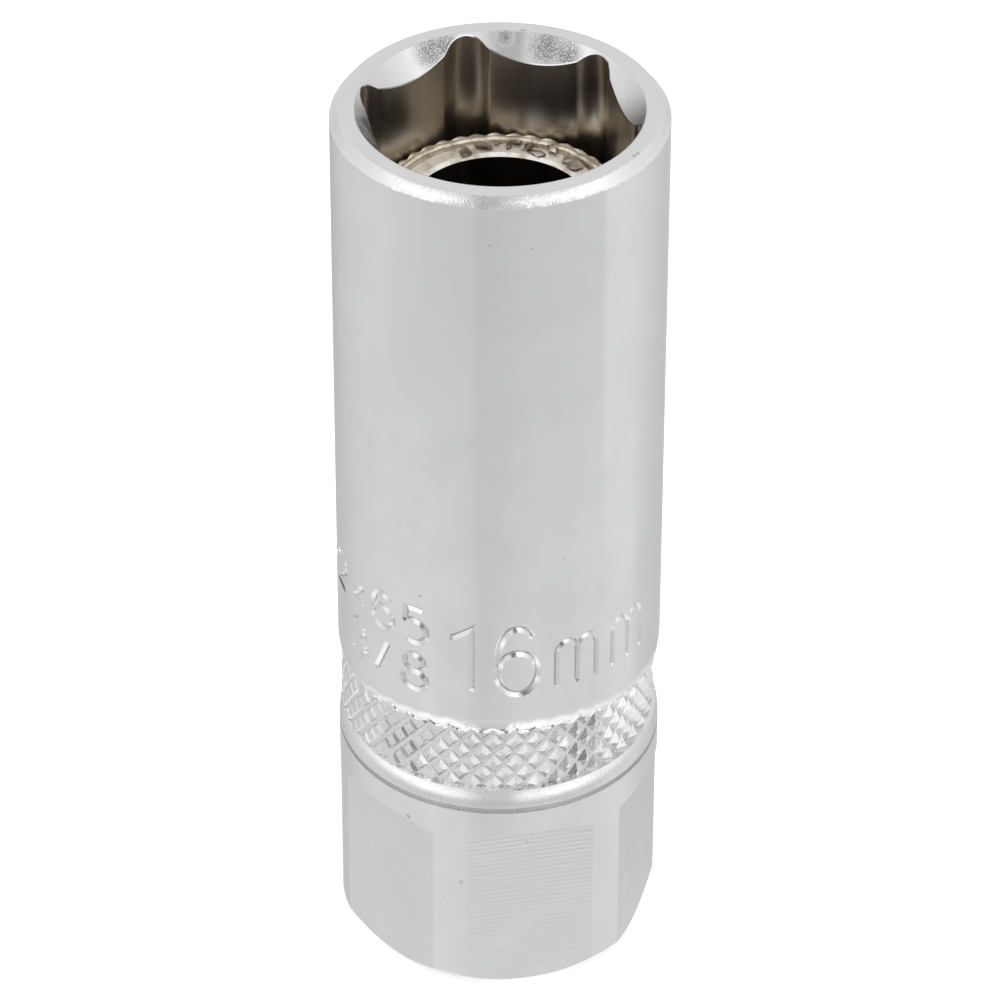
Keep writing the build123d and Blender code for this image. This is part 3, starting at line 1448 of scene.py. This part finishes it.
    def _drive_end(self, lathe: Lathe) -> None:
        """Turn the drive end from its face to the shoulder under the grip band.

        Args:
            lathe: The lathe that the body is on.
        """
        radial, axial = self.drive_edge
        height = self.shoulder[0]
        foot = self.band.bottom - height
        face = self.radius - radial
        lathe.rings(((face - 0.04, 0.0), (face + 0.01, 0.03), (self.radius - 0.03, axial - 0.03)))
        wall = (axial + 0.05, axial + 0.12, 3.0, 5.5, 8.0, 10.5, 12.9, 14.1, foot - 0.45, foot - 0.34)
        lathe.rings((self.radius, up) for up in wall)
        # The strip takes a darker coat: painted shade of the step under the shoulder.
        lathe.rings(((self.radius + out, foot + up) for out, up in self.strip_rings), Coat.STRIP)
        lathe.material = Coat.TURNED
        for share in (0.15, 0.3, 0.5, 0.75, 1.0):
            up = foot + share * height
            lathe.ring(round_over(self.radius, self.shoulder, up - foot), up)

    def _mill_flat(self, bm: bmesh.types.BMesh, out: Vector) -> None:
        """Mill one wrench flat and the runout over it.

        Args:
            bm: The body's mesh.
            out: The direction that the flat faces.
        """
        rise = Vector((self.radius - self.flat_flank, self.flat_runout)).normalized()
        start = self.flat_flank * out + Vector((0.0, 0.0, self.flat_top))
        slope = rise.y * out - Vector((0.0, 0.0, rise.x))
        planes = ((self.flat_flank * out, out), (start, slope))
        reach, top = 9.0, 15.0
        for place, normal in planes:
            low = [face for face in bm.faces if face.calc_center_median().z < top]
            near = [face for face in low if face.calc_center_median().dot(out) > reach]
            geom = {item for face in near for item in (face, *face.edges, *face.verts)}
            bmesh.ops.bisect_plane(bm, geom=list(geom), dist=1e-5, plane_co=place, plane_no=normal)
        waste = [
            face
            for face in bm.faces
            if face.calc_center_median().z < top
            and all(past(plane, face.calc_center_median()) > TOUCH / 2 for plane in planes)
        ]
        bmesh.ops.delete(bm, geom=waste, context="FACES")
        rim = [edge for edge in bm.edges if edge.is_boundary and self._near_flat(edge, out)]
        ends = {
            vert
            for edge in rim
            for vert in edge.verts
            if all(abs(past(plane, vert.co)) < TOUCH for plane in planes)
        }
        bridge = bmesh.ops.contextual_create(bm, geom=list(ends))["edges"]
        for plane, coat in zip(planes, (Coat.MILLED, Coat.OUTSIDE)):
            around = [
                edge for edge in rim if all(abs(past(plane, vert.co)) < TOUCH for vert in edge.verts)
            ]
            for face in bmesh.ops.contextual_create(bm, geom=around + bridge)["faces"]:
                face.material_index = coat

    def _near_flat(self, edge: bmesh.types.BMEdge, out: Vector) -> bool:
        """Return whether both points of an edge are by the flat that faces a direction."""
        return all(vert.co.dot(out) > self.flat_flank - 0.05 and vert.co.z < 14.5 for vert in edge.verts)

    def build(self, coats: Mapping[Coat, bpy.types.Material]) -> bpy.types.Object:
        """Build the body as one closed shell.

        Args:
            coats: The material of each of its finishes.

        Returns:
            The finished piece.
        """
        lathe = Lathe(self.steps)
        bm = lathe.bm
        pour(self.band.build(), bm)
        open_edges = [edge for edge in bm.edges if edge.is_boundary]
        middle = (self.band.top + self.band.bottom) / 2
        upper = [edge for edge in open_edges if edge.verts[0].co.z > middle]
        lower = [edge for edge in open_edges if edge.verts[0].co.z < middle]
        for turn in (self._barrel, self._rim, self._mouth, self._bore, self._drive_end):
            turn(lathe)
        bmesh.ops.bridge_loops(bm, edges=lathe.first + upper)
        bmesh.ops.bridge_loops(bm, edges=lathe.edges + lower)
        for index in range(6):
            turn = radians(self.flat_angle + 60.0 * index)
            self._mill_flat(bm, Vector((cos(turn), sin(turn), 0.0)))
        bmesh.ops.remove_doubles(bm, verts=bm.verts[:], dist=TOUCH)
        log.info("socket body: %d edges not closed", sum(not edge.is_manifold for edge in bm.edges))
        return finish_piece(
            "chromed_body",
            bm,
            [coats[coat] for coat in Coat],
            "socket_body",
            14.0,
            lambda piece: stamp(piece, SIZE_MARKS, self.radius),
        )


# Magnet insert


@dataclass(frozen=True)
class Chip:
    """A small flat steel chip that the magnet has caught.

    Attributes:
        reach: Its distance from the axis.
        angle: The angle that it lies at, in degrees.
        wide: Its size round the axis.
        deep: Its size away from the axis.
        tall: Its height.
    """

    reach: float
    angle: float
    wide: float
    deep: float
    tall: float

    def add(self, bm: bmesh.types.BMesh, seat: float, chance: random.Random) -> None:
        """Add the chip as the hull of a few points.

        Args:
            bm: The mesh that it is added to.
            seat: The height that it lies at.
            chance: The source of its points.
        """
        turn = radians(self.angle)
        points = []
        for _ in range(14):
            spot = Vector((chance.uniform(-1, 1), chance.uniform(-1, 1), chance.uniform(0, 1)))
            across, out = spot.x * self.wide / 2, self.reach + spot.y * self.deep / 2
            place = (
                out * cos(turn) - across * sin(turn),
                out * sin(turn) + across * cos(turn),
                seat + spot.z * self.tall,
            )
            points.append(bmesh.ops.create_vert(bm, co=place)["vert"][0])
        hull = bmesh.ops.convex_hull(bm, input=points)
        bmesh.ops.delete(bm, geom=points_in(hull["geom_interior"]), context="VERTS")


@dataclass
class MagnetInsert:
    """The pressed holder with its serrated edge, the ring magnet in it, and chips it has caught.

    Attributes:
        floor: The height that the holder stands on.
        flange: The thickness of its flange.
        flange_hole: The radius of the flange's hole.
        height: The magnet's height.
        lip: How far the holder stands over the magnet.
        holder_radius: The holder's outer radius at its serrations.
        serrations: How many serrations it has.
        serration_radius: Their radius.
        angle: The angle of one serration.
        edge_rings: How far in and down, how deep between serrations and how far round in degrees each
            ring of the holder's upper edge lies.
        bead_radius: The radius of the middle of the bead that holds the magnet.
        bead_size: Half the bead's width, and its height.
        bead_root: The radius where the bead ends inside.
        pocket: The radius of the pocket that the magnet sits in.
        magnet_radius: The magnet's outer radius.
        hole_radius: The magnet's inner radius.
        chamfer: The size of the magnet's upper chamfers.
        chips: The chips on it.
    """

    floor: float = 51.0
    flange: float = 1.0
    flange_hole: float = 6.1
    height: float = 5.75
    lip: float = 0.2
    holder_radius: float = 8.08
    serrations: int = 40
    serration_radius: float = 1.2
    angle: float = 44.9
    edge_rings: tuple[tuple[float, float, float, float], ...] = (
        (0.02, 0.16, 0.03, 0.4),
        (0.08, 0.02, 0.06, 1.2),
        (0.18, -0.09, 0.09, 2.4),
        (0.3, -0.11, 0.09, 3.8),
        (0.42, -0.03, 0.05, 5.0),
    )
    bead_radius: float = 7.326
    bead_size: Point = (0.24, 0.26)
    bead_root: float = 7.06
    pocket: float = 7.32
    magnet_radius: float = 7.3
    hole_radius: float = 5.75
    chamfer: float = 0.3
    chips: tuple[Chip, ...] = (
        Chip(6.75, 99.1, 1.25, 1.2, 0.3),
        Chip(7.0, 91.7, 0.45, 0.5, 0.3),
        Chip(6.6, 85.1, 0.45, 0.8, 0.25),
        Chip(6.75, 76.5, 0.5, 0.9, 0.4),
        Chip(6.65, 73.0, 0.45, 1.0, 0.35),
        Chip(6.2, 66.5, 1.1, 0.8, 0.25),
        Chip(6.95, 60.5, 0.95, 0.6, 0.45),
        Chip(7.05, 80.5, 0.7, 0.35, 0.3),
        Chip(6.4, 110.6, 0.9, 1.3, 0.14),
        Chip(6.35, 41.5, 1.3, 1.1, 0.4),
        Chip(6.45, 47.5, 0.7, 0.9, 0.3),
    )

    @property
    def magnet_foot(self) -> float:
        """The height of the magnet's lower face."""
        return self.floor + self.flange

    @property
    def magnet_top(self) -> float:
        """The height of the magnet's upper face."""
        return self.magnet_foot + self.height

    def _scallop(self, inset: float, twist: float = 0.0) -> Callable[[float], float]:
        """Return the serrated edge's radius as a function of the angle.

        Args:
            inset: How far inside the edge.
            twist: How far the serrations lean round, in degrees.

        Returns:
            The function.
        """
        centre, step = self.holder_radius - self.serration_radius, 360.0 / self.serrations

        def reach(angle: float) -> float:
            """Return the radius at an angle."""
            turn = radians(from_nearest(angle, self.angle + twist, step))
            across = centre * sin(turn)
            return centre * cos(turn) + sqrt(self.serration_radius**2 - across**2) - inset

        return reach

    def _valley(self, depth: float, twist: float) -> Callable[[float], float]:
        """Return the depth between serrations that lean round by a twist, by the angle."""
        step = 360.0 / self.serrations
        return lambda angle: depth * sin(pi * from_nearest(angle, self.angle + twist, step) / step) ** 2

    def _lump(self, angle: float) -> float:
        """Return how far the pressed metal stands proud upwards at an angle."""
        return 0.06 * wander(angle, 9.0, 1.0)

    def _sway(self, angle: float) -> float:
        """Return how far the bead sways outwards at an angle."""
        return 0.05 * wander(angle, 9.0, 5.0)

    def build_holder(self, material: bpy.types.Material) -> bpy.types.Object:
        """Press the holder: serrated wall, rolled bead and flange.

        Args:
            material: Its material.

        Returns:
            The finished piece.
        """
        lathe = Lathe(self.serrations * 12)
        top = self.magnet_top + self.lip
        lathe.start(self._scallop(0.15), self.floor)
        lathe.rings((self._scallop(0.0), up) for up in (self.floor + 0.2, top - 0.4))
        for inset, sink, deep, twist in self.edge_rings:
            valley = self._valley(deep, twist)
            lathe.ring(
                self._scallop(inset, twist),
                lambda angle, sink=sink, valley=valley: top - sink - valley(angle) + self._lump(angle),
            )
        half_wide, tall = self.bead_size
        for turn in map(radians, (25, 50, 75, 105, 135, 165)):
            across, up = self.bead_radius + half_wide * cos(turn), sin(turn)
            lathe.ring(
                lambda angle, across=across, up=up: across + self._sway(angle) * up,
                lambda angle, up=up: top - 0.05 + (tall + self._lump(angle)) * up,
            )
        lathe.ring(self.bead_root, top - 0.22)
        lathe.rings((self.pocket, up) for up in (top - 0.49, self.magnet_foot))
        lathe.rings((self.flange_hole, up) for up in (self.magnet_foot, self.floor))
        lathe.close()
        return finish_piece("pressed_holder", lathe.bm, [material], "magnet_holder", 40.0)

    def build_magnet(self, outside: bpy.types.Material, hole: bpy.types.Material) -> bpy.types.Object:
        """Turn the ring magnet with its small chamfers.

        Args:
            outside: The material of its outside.
            hole: The material of its hole, near-black as painted shade.

        Returns:
            The finished piece.
        """
        lathe = Lathe(256)
        foot, top = self.magnet_foot, self.magnet_top
        outer, inner = self.magnet_radius, self.hole_radius
        shoulder = top - self.chamfer
        lathe.start(inner + 0.25, foot)
        lathe.rings(((outer - 0.05, foot), (outer, foot + 0.05)))
        lathe.rings(((outer, shoulder), (outer - self.chamfer, top), (inner + self.chamfer, top)))
        lathe.rings(((inner + 0.22, top - 0.03), (inner + 0.02, top - 0.22)))
        # The hole's wall takes the near-black bore coat: painted shade.
        lathe.rings(((inner, shoulder), (inner, foot + 0.25)), 1)
        lathe.close()
        return finish_piece("plated_ring", lathe.bm, [outside, hole], "ring_magnet", 30.0)

    def build_chips(self, material: bpy.types.Material) -> bpy.types.Object:
        """Scatter the small flat chips that cling to the magnet and its bead.

        Args:
            material: Their material.

        Returns:
            The finished piece.
        """
        chance = random.Random(23)
        bm = bmesh.new()
        for chip in self.chips:
            chip.add(bm, self.magnet_top, chance)
        return finish_piece("caught_chips", bm, [material], None, 15.0)


# Studio


@dataclass(frozen=True)
class Surround:
    """The soft light tent round the set, as bright as its panels are in each direction.

    Attributes:
        peak: The brightness that the ramps are scaled to.
        cool: How much stronger blue is than red and green.
        belts: Height of each belt in degrees over the horizon, with its tones by angle from the front.
    """

    peak: float = 2.4
    cool: float = 1.004
    belts: tuple[tuple[float, Tones], ...] = (
        (-84.0, (
            (-180, 0.5), (-60, 0.6), (-18, 0.6), (-10, 0.3), (10, 0.3), (18, 0.6), (60, 0.6),
            (180, 0.5),
        )),
        (-72.0, (
            (-180, 0.75), (-110, 1.2), (-34, 1.4), (-20, 0.6), (-8, 0.45), (8, 0.42), (22, 1.4),
            (105, 1.2), (180, 0.75),
        )),
        (-62.0, (
            (-180, 0.8), (-110, 1.3), (-32, 1.7), (-20, 0.9), (6, 0.85), (16, 1.7), (105, 1.3),
            (180, 0.8),
        )),
        (-51.0, (
            (-180, 0.7), (-115, 1.25), (-36, 1.6), (-20, 0.9), (8, 0.88), (18, 1.6), (110, 1.25),
            (180, 0.7),
        )),
        (-46.5, (
            (-180, 0.78), (-115, 1.05), (-36, 1.25), (-14, 0.95), (8, 0.95), (18, 1.25), (110, 1.1),
            (180, 0.85),
        )),
        (-43.5, (
            (-180, 0.78), (-163, 0.7), (-142, 0.73), (-132, 0.82), (-117, 0.9), (-95, 0.95),
            (-75, 0.99), (-46, 1.01), (-13, 0.985), (15, 1.01), (29, 1.03), (60, 1.01), (88, 1.0),
            (107, 1.0), (130, 0.99), (152, 0.95), (180, 0.87),
        )),
        (-38.0, (
            (-180, 0.61), (-163, 0.64), (-142, 0.74), (-132, 0.82), (-117, 0.91), (-94, 1.0),
            (-80, 1.02), (-50, 1.05), (-24, 0.97), (-13, 0.89), (0, 0.905), (15, 0.97), (29, 1.0),
            (50, 0.985), (81, 1.03), (92, 1.05), (107, 1.03), (120, 0.88), (149, 0.71), (180, 0.6),
        )),
        (-32.5, (
            (-180, 0.6), (-163, 0.56), (-137, 0.82), (-114, 0.94), (-86, 0.98), (-81, 0.95),
            (-49, 0.86), (-19, 0.85), (-15, 0.79), (15, 0.84), (43, 0.87), (74, 0.9), (79, 1.06),
            (104, 1.05), (131, 0.86), (152, 0.7), (180, 0.6),
        )),
        (-27.5, (
            (-180, 0.7), (-110, 1.0), (-50, 0.98), (-24, 0.92), (-12, 0.8), (6, 0.8), (18, 0.92),
            (60, 0.98), (110, 1.0), (180, 0.7),
        )),
        (-20.5, (
            (-180, 0.8), (-115, 1.25), (-50, 2.0), (-26, 1.7), (-10, 1.0), (6, 1.0), (18, 1.75),
            (50, 1.9), (90, 1.35), (180, 0.8),
        )),
        (-13.0, (
            (-180, 0.8), (-115, 1.1), (-50, 1.2), (-26, 1.15), (-10, 0.85), (6, 0.85), (18, 1.1),
            (50, 1.2), (90, 1.1), (180, 0.8),
        )),
        (-6.0, (
            (-180, 0.85), (-100, 0.95), (-60, 1.0), (-26, 0.95), (-16, 0.75), (6, 0.75), (14, 0.95),
            (50, 1.05), (90, 1.05), (120, 0.9), (180, 0.85),
        )),
        (7.0, (
            (-180, 0.9), (-115, 0.95), (-62, 1.05), (-45, 1.25), (-31, 1.2), (-23, 0.6), (-13, 0.5),
            (-8, 0.17), (1, 0.2), (8, 1.4), (26, 1.45), (38, 1.25), (62, 1.35), (84, 1.1), (125, 1.1),
            (180, 0.9),
        )),
        (13.0, (
            (-180, 0.9), (-125, 1.1), (-84, 1.2), (-62, 1.45), (-30, 1.5), (-22, 0.55), (-13, 0.45),
            (-8, 0.15), (3, 0.15), (9, 1.5), (30, 1.5), (62, 1.4), (84, 1.15), (125, 1.1), (180, 0.9),
        )),
        (25.0, (
            (-180, 0.95), (-125, 1.1), (-84, 1.25), (-62, 1.7), (-27, 1.9), (-20, 0.35), (0, 0.35),
            (8, 1.9), (62, 1.65), (84, 1.25), (125, 1.15), (180, 0.95),
        )),
        (36.0, (
            (-180, 1.03), (-125, 1.02), (-95, 1.25), (-70, 1.8), (-29, 2.2), (-21, 0.65), (4, 0.65),
            (12, 2.2), (70, 1.9), (95, 1.3), (125, 1.04), (180, 1.03),
        )),
        (44.0, (
            (-180, 1.06), (-60, 1.1), (-28, 1.2), (-19, 0.5), (5, 0.5), (14, 1.2), (60, 1.1),
            (180, 1.06),
        )),
        (54.0, ((-180, 1.08), (-60, 1.05), (-20, 0.85), (20, 0.85), (60, 1.05), (180, 1.08))),
        (70.0, ((-180, 1.1), (180, 1.1))),
    )

    def _ramp(self, wiring: Wiring, share: bpy.types.NodeSocket, tones: Tones) -> bpy.types.NodeSocket:
        """Return the colour along a ramp of tones by angle from the front.

        Args:
            wiring: The wiring of the world's nodes.
            share: How far round, from 0 behind at the left to 1 behind at the right.
            tones: Pairs of angle and tone, from the left round.

        Returns:
            The colour.
        """
        ramp = wiring.node("ShaderNodeValToRGB")
        wiring.link(share, ramp.inputs["Fac"])
        stops = ramp.color_ramp.elements
        while len(stops) > 1:
            stops.remove(stops[-1])
        for index, (angle, tone) in enumerate(tones):
            place = (angle + 180.0) / 360.0
            stop = stops.new(place) if index else stops[0]
            stop.position = place
            stop.color = (tone / self.peak, tone / self.peak, self.cool * tone / self.peak, 1.0)
        return ramp.outputs["Color"]

    def make(self) -> None:
        """Make the world from its belts, each running smoothly into the next."""
        world = bpy.data.worlds.new("surround")
        bpy.context.scene.world = world
        world.use_nodes = True
        wiring = Wiring(world.node_tree)
        wiring.tree.nodes.clear()
        split = wiring.node("ShaderNodeSeparateXYZ")
        wiring.link(wiring.node("ShaderNodeTexCoord").outputs["Generated"], split.inputs["Vector"])
        front = wiring.maths("MULTIPLY", split.outputs["Y"], -1.0)
        turn = wiring.maths("ARCTAN2", split.outputs["X"], front)
        share = wiring.spread(turn, -pi, pi, kind="LINEAR")
        lift = wiring.maths("ARCSINE", split.outputs["Z"])
        below, tones = self.belts[0]
        tone = self._ramp(wiring, share, tones)
        for height, tones in self.belts[1:]:
            near = wiring.spread(lift, radians(below), radians(height))
            tone = wiring.between(near, tone, self._ramp(wiring, share, tones))
            below = height
        sky = wiring.node("ShaderNodeBackground")
        sky.inputs["Strength"].default_value = self.peak
        wiring.link(tone, sky.inputs["Color"])
        wiring.link(sky.outputs["Background"], wiring.node("ShaderNodeOutputWorld").inputs["Surface"])


@dataclass
class Studio:
    """The pale floor, the soft light and the camera.

    Attributes:
        focal: The focal length in pixels of the picture.
        picture_width: The picture's width in pixels.
        sensor_width: The width of the camera's sensor in millimetres.
        elevation: How far the camera looks down.
        roll: Its roll.
        distance: Its distance from the target in millimetres.
        target: The point that it looks at.
        floor_radius: The floor's radius in metres.
        floor_height: Its height in metres, just under the socket.
        floor_tone: How pale it is.
        floor_glow: How much it glows by itself, as the light tent's floor does.
    """

    focal: float = 5612.0
    picture_width: float = 1000.0
    sensor_width: float = 36.0
    elevation: float = 36.043
    roll: float = 0.159
    distance: float = 377.93
    target: Place = (0.051, 0.0, 33.843)
    floor_radius: float = 3.0
    floor_height: float = -0.00002
    floor_tone: float = 0.92
    floor_glow: float = 0.35

    def place_camera(self) -> None:
        """Put the camera where the photograph was taken from."""
        lift, roll = radians(self.elevation), radians(self.roll)
        back = Vector((0.0, -cos(lift), sin(lift)))
        right, up = Vector((1.0, 0.0, 0.0)), Vector((0.0, sin(lift), cos(lift)))
        across = cos(roll) * right + sin(roll) * up
        upward = cos(roll) * up - sin(roll) * right
        place = (Vector(self.target) + self.distance * back) * MM
        data = bpy.data.cameras.new("camera")
        data.sensor_width = self.sensor_width
        data.lens = self.focal * self.sensor_width / self.picture_width
        data.clip_start = 0.01
        data.clip_end = 20.0
        camera = bpy.data.objects.new("camera", data)
        turn = Matrix((across, upward, back)).transposed().to_4x4()
        camera.matrix_world = Matrix.Translation(place) @ turn
        bpy.context.scene.collection.objects.link(camera)
        bpy.context.scene.camera = camera

    def lay_floor(self) -> None:
        """Lay the pale floor, which the chrome sees as the surround in its place."""
        bm = bmesh.new()
        bmesh.ops.create_circle(bm, cap_ends=True, segments=96, radius=self.floor_radius)
        bmesh.ops.translate(bm, vec=(0.0, 0.0, self.floor_height), verts=bm.verts[:])
        floor = put_in_scene("floor", bm)
        paint = bpy.data.materials.new("floor_paint")
        paint.use_nodes = True
        shader = paint.node_tree.nodes["Principled BSDF"]
        shader.inputs["Base Color"].default_value = (*[self.floor_tone] * 3, 1.0)
        shader.inputs["Roughness"].default_value = 0.9
        shader.inputs["Emission Color"].default_value = (1.0, 1.0, 1.0, 1.0)
        shader.inputs["Emission Strength"].default_value = self.floor_glow
        floor.data.materials.append(paint)
        floor.visible_glossy = False

    def light(self) -> None:
        """Light the set from a pale surround and pick the plain view of its colours."""
        Surround().make()
        bpy.context.scene.view_settings.view_transform = "Standard"
        bpy.context.scene.view_settings.look = "None"


# Places with their reaches in millimetres: nicks in the plating
NICKS: Spots = (
    ((3.02, -10.58, 11.6), 0.22),
    ((3.6, -10.39, 10.2), 0.2),
    ((-6.15, -9.12, 13.8), 0.3),
    ((-2.55, -10.7, 9.3), 0.28),
    ((-1.91, -10.83, 4.2), 0.22),
    ((1.44, 9.28, 65.0), 0.4),
    ((8.47, -5.8, 65.0), 0.24),
    ((8.7, -5.5, 65.0), 0.2),
    ((4.3, -10.12, 36.5), 0.2),
    ((-5.2, -9.69, 33.0), 0.18),
)
# Worn plating in the cone of the mouth
WORN: Spots = (
    ((-4.5, 7.8, 64.4), 1.9),
    ((-3.6, 8.2, 64.5), 1.6),
    ((0.3, 9.1, 64.7), 0.9),
    ((3.1, 8.4, 64.3), 2.1),
    ((4.3, 7.7, 64.2), 1.6),
    ((-8.8, -2.2, 64.4), 1.8),
)
# Painted highlights: spots on the flanks and lobes of the hex painted bright
PAINTED_HIGHLIGHTS: Spots = (
    ((6.5, 6.5, 60.2), 2.3),
    ((2.6, 7.9, 59.6), 1.3),
    ((4.5, 7.9, 59.6), 1.2),
)


def body_coats() -> dict[Coat, bpy.types.Material]:
    """Return the material of each of the socket body's finishes."""
    coats = {
        Coat.OUTSIDE: ChromePlate(spots=NICKS),
        # The hex's wall, with painted highlights on its flanks and lobes.
        Coat.HEX: BroachedSteel(painted_highlights=PAINTED_HIGHLIGHTS),
        Coat.CONE: ChromePlate("chrome_cone", (0.59, 0.588, 0.585), (0.2, 0.3), grain=0.004, spots=WORN),
        Coat.MILLED: ChromePlate("chrome_milled", (0.62, 0.621, 0.622), line_pitch=0.37, line_depth=0.006),
        Coat.TURNED: ChromePlate("chrome_turned", line_pitch=0.13, line_depth=0.0014, grain=0.003, fleck_share=0.3),
        Coat.CHAMFER: ChromePlate("chrome_chamfer", roughness=(0.14, 0.22), grain=0.016),
        Coat.ROLLED: ChromePlate("chrome_rolled", roughness=(0.14, 0.24), grain=0.012, fleck_share=0.5),
        # The bore: near-black painted shade of the deep hole under the insert.
        Coat.BORE: BroachedSteel("bore_painted_shade", (0.06, 0.053, 0.047), (0.1, 0.088, 0.078), (0.35, 0.5)),
        Coat.STRUCK: ChromePlate("chrome_struck", (0.6, 0.6, 0.6), (0.12, 0.22), grain=0.008, fleck_share=0.3),
        # The strip under the shoulder: its dark tone is painted shade of the step, and its dense dark flecks
        # are partly painted shade.
        Coat.STRIP: ChromePlate("chrome_strip_painted_shade", (0.4, 0.4, 0.4), (0.22, 0.35), grain=0.05, fleck_share=0.9),
    }
    return {coat: finish.make() for coat, finish in coats.items()}


def main() -> None:
    """Build every piece on the frame, log its faces and light it."""
    logging.basicConfig(level=logging.INFO, format="%(name)s: %(message)s")
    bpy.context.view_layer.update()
    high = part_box("socket_body")[1]
    coats = body_coats()
    brass = PressedMetal("holder_brass", (0.76, 0.71, 0.59), (0.4, 0.34, 0.25), (0.3, 0.5))
    nickel = PressedMetal(
        "magnet_nickel", (0.9, 0.865, 0.81), (0.55, 0.49, 0.42), (0.35, 0.5), metallic=0.8
    )
    steel = PressedMetal("chip_metal", (0.5, 0.45, 0.38), (0.2, 0.16, 0.12), (0.25, 0.5))
    body = SocketBody(length=high.z / MM, radius=high.x / MM)
    insert = MagnetInsert()
    for piece in (
        body.build(coats),
        insert.build_holder(brass.make()),
        # The magnet's hole takes the bore's near-black coat, painted shade.
        insert.build_magnet(nickel.make(), coats[Coat.BORE]),
        insert.build_chips(steel.make()),
    ):
        log.info("%s: %d faces", piece.name, len(piece.data.polygons))
    studio = Studio()
    studio.place_camera()
    studio.lay_floor()
    studio.light()


if __name__ == "__main__":
    main()
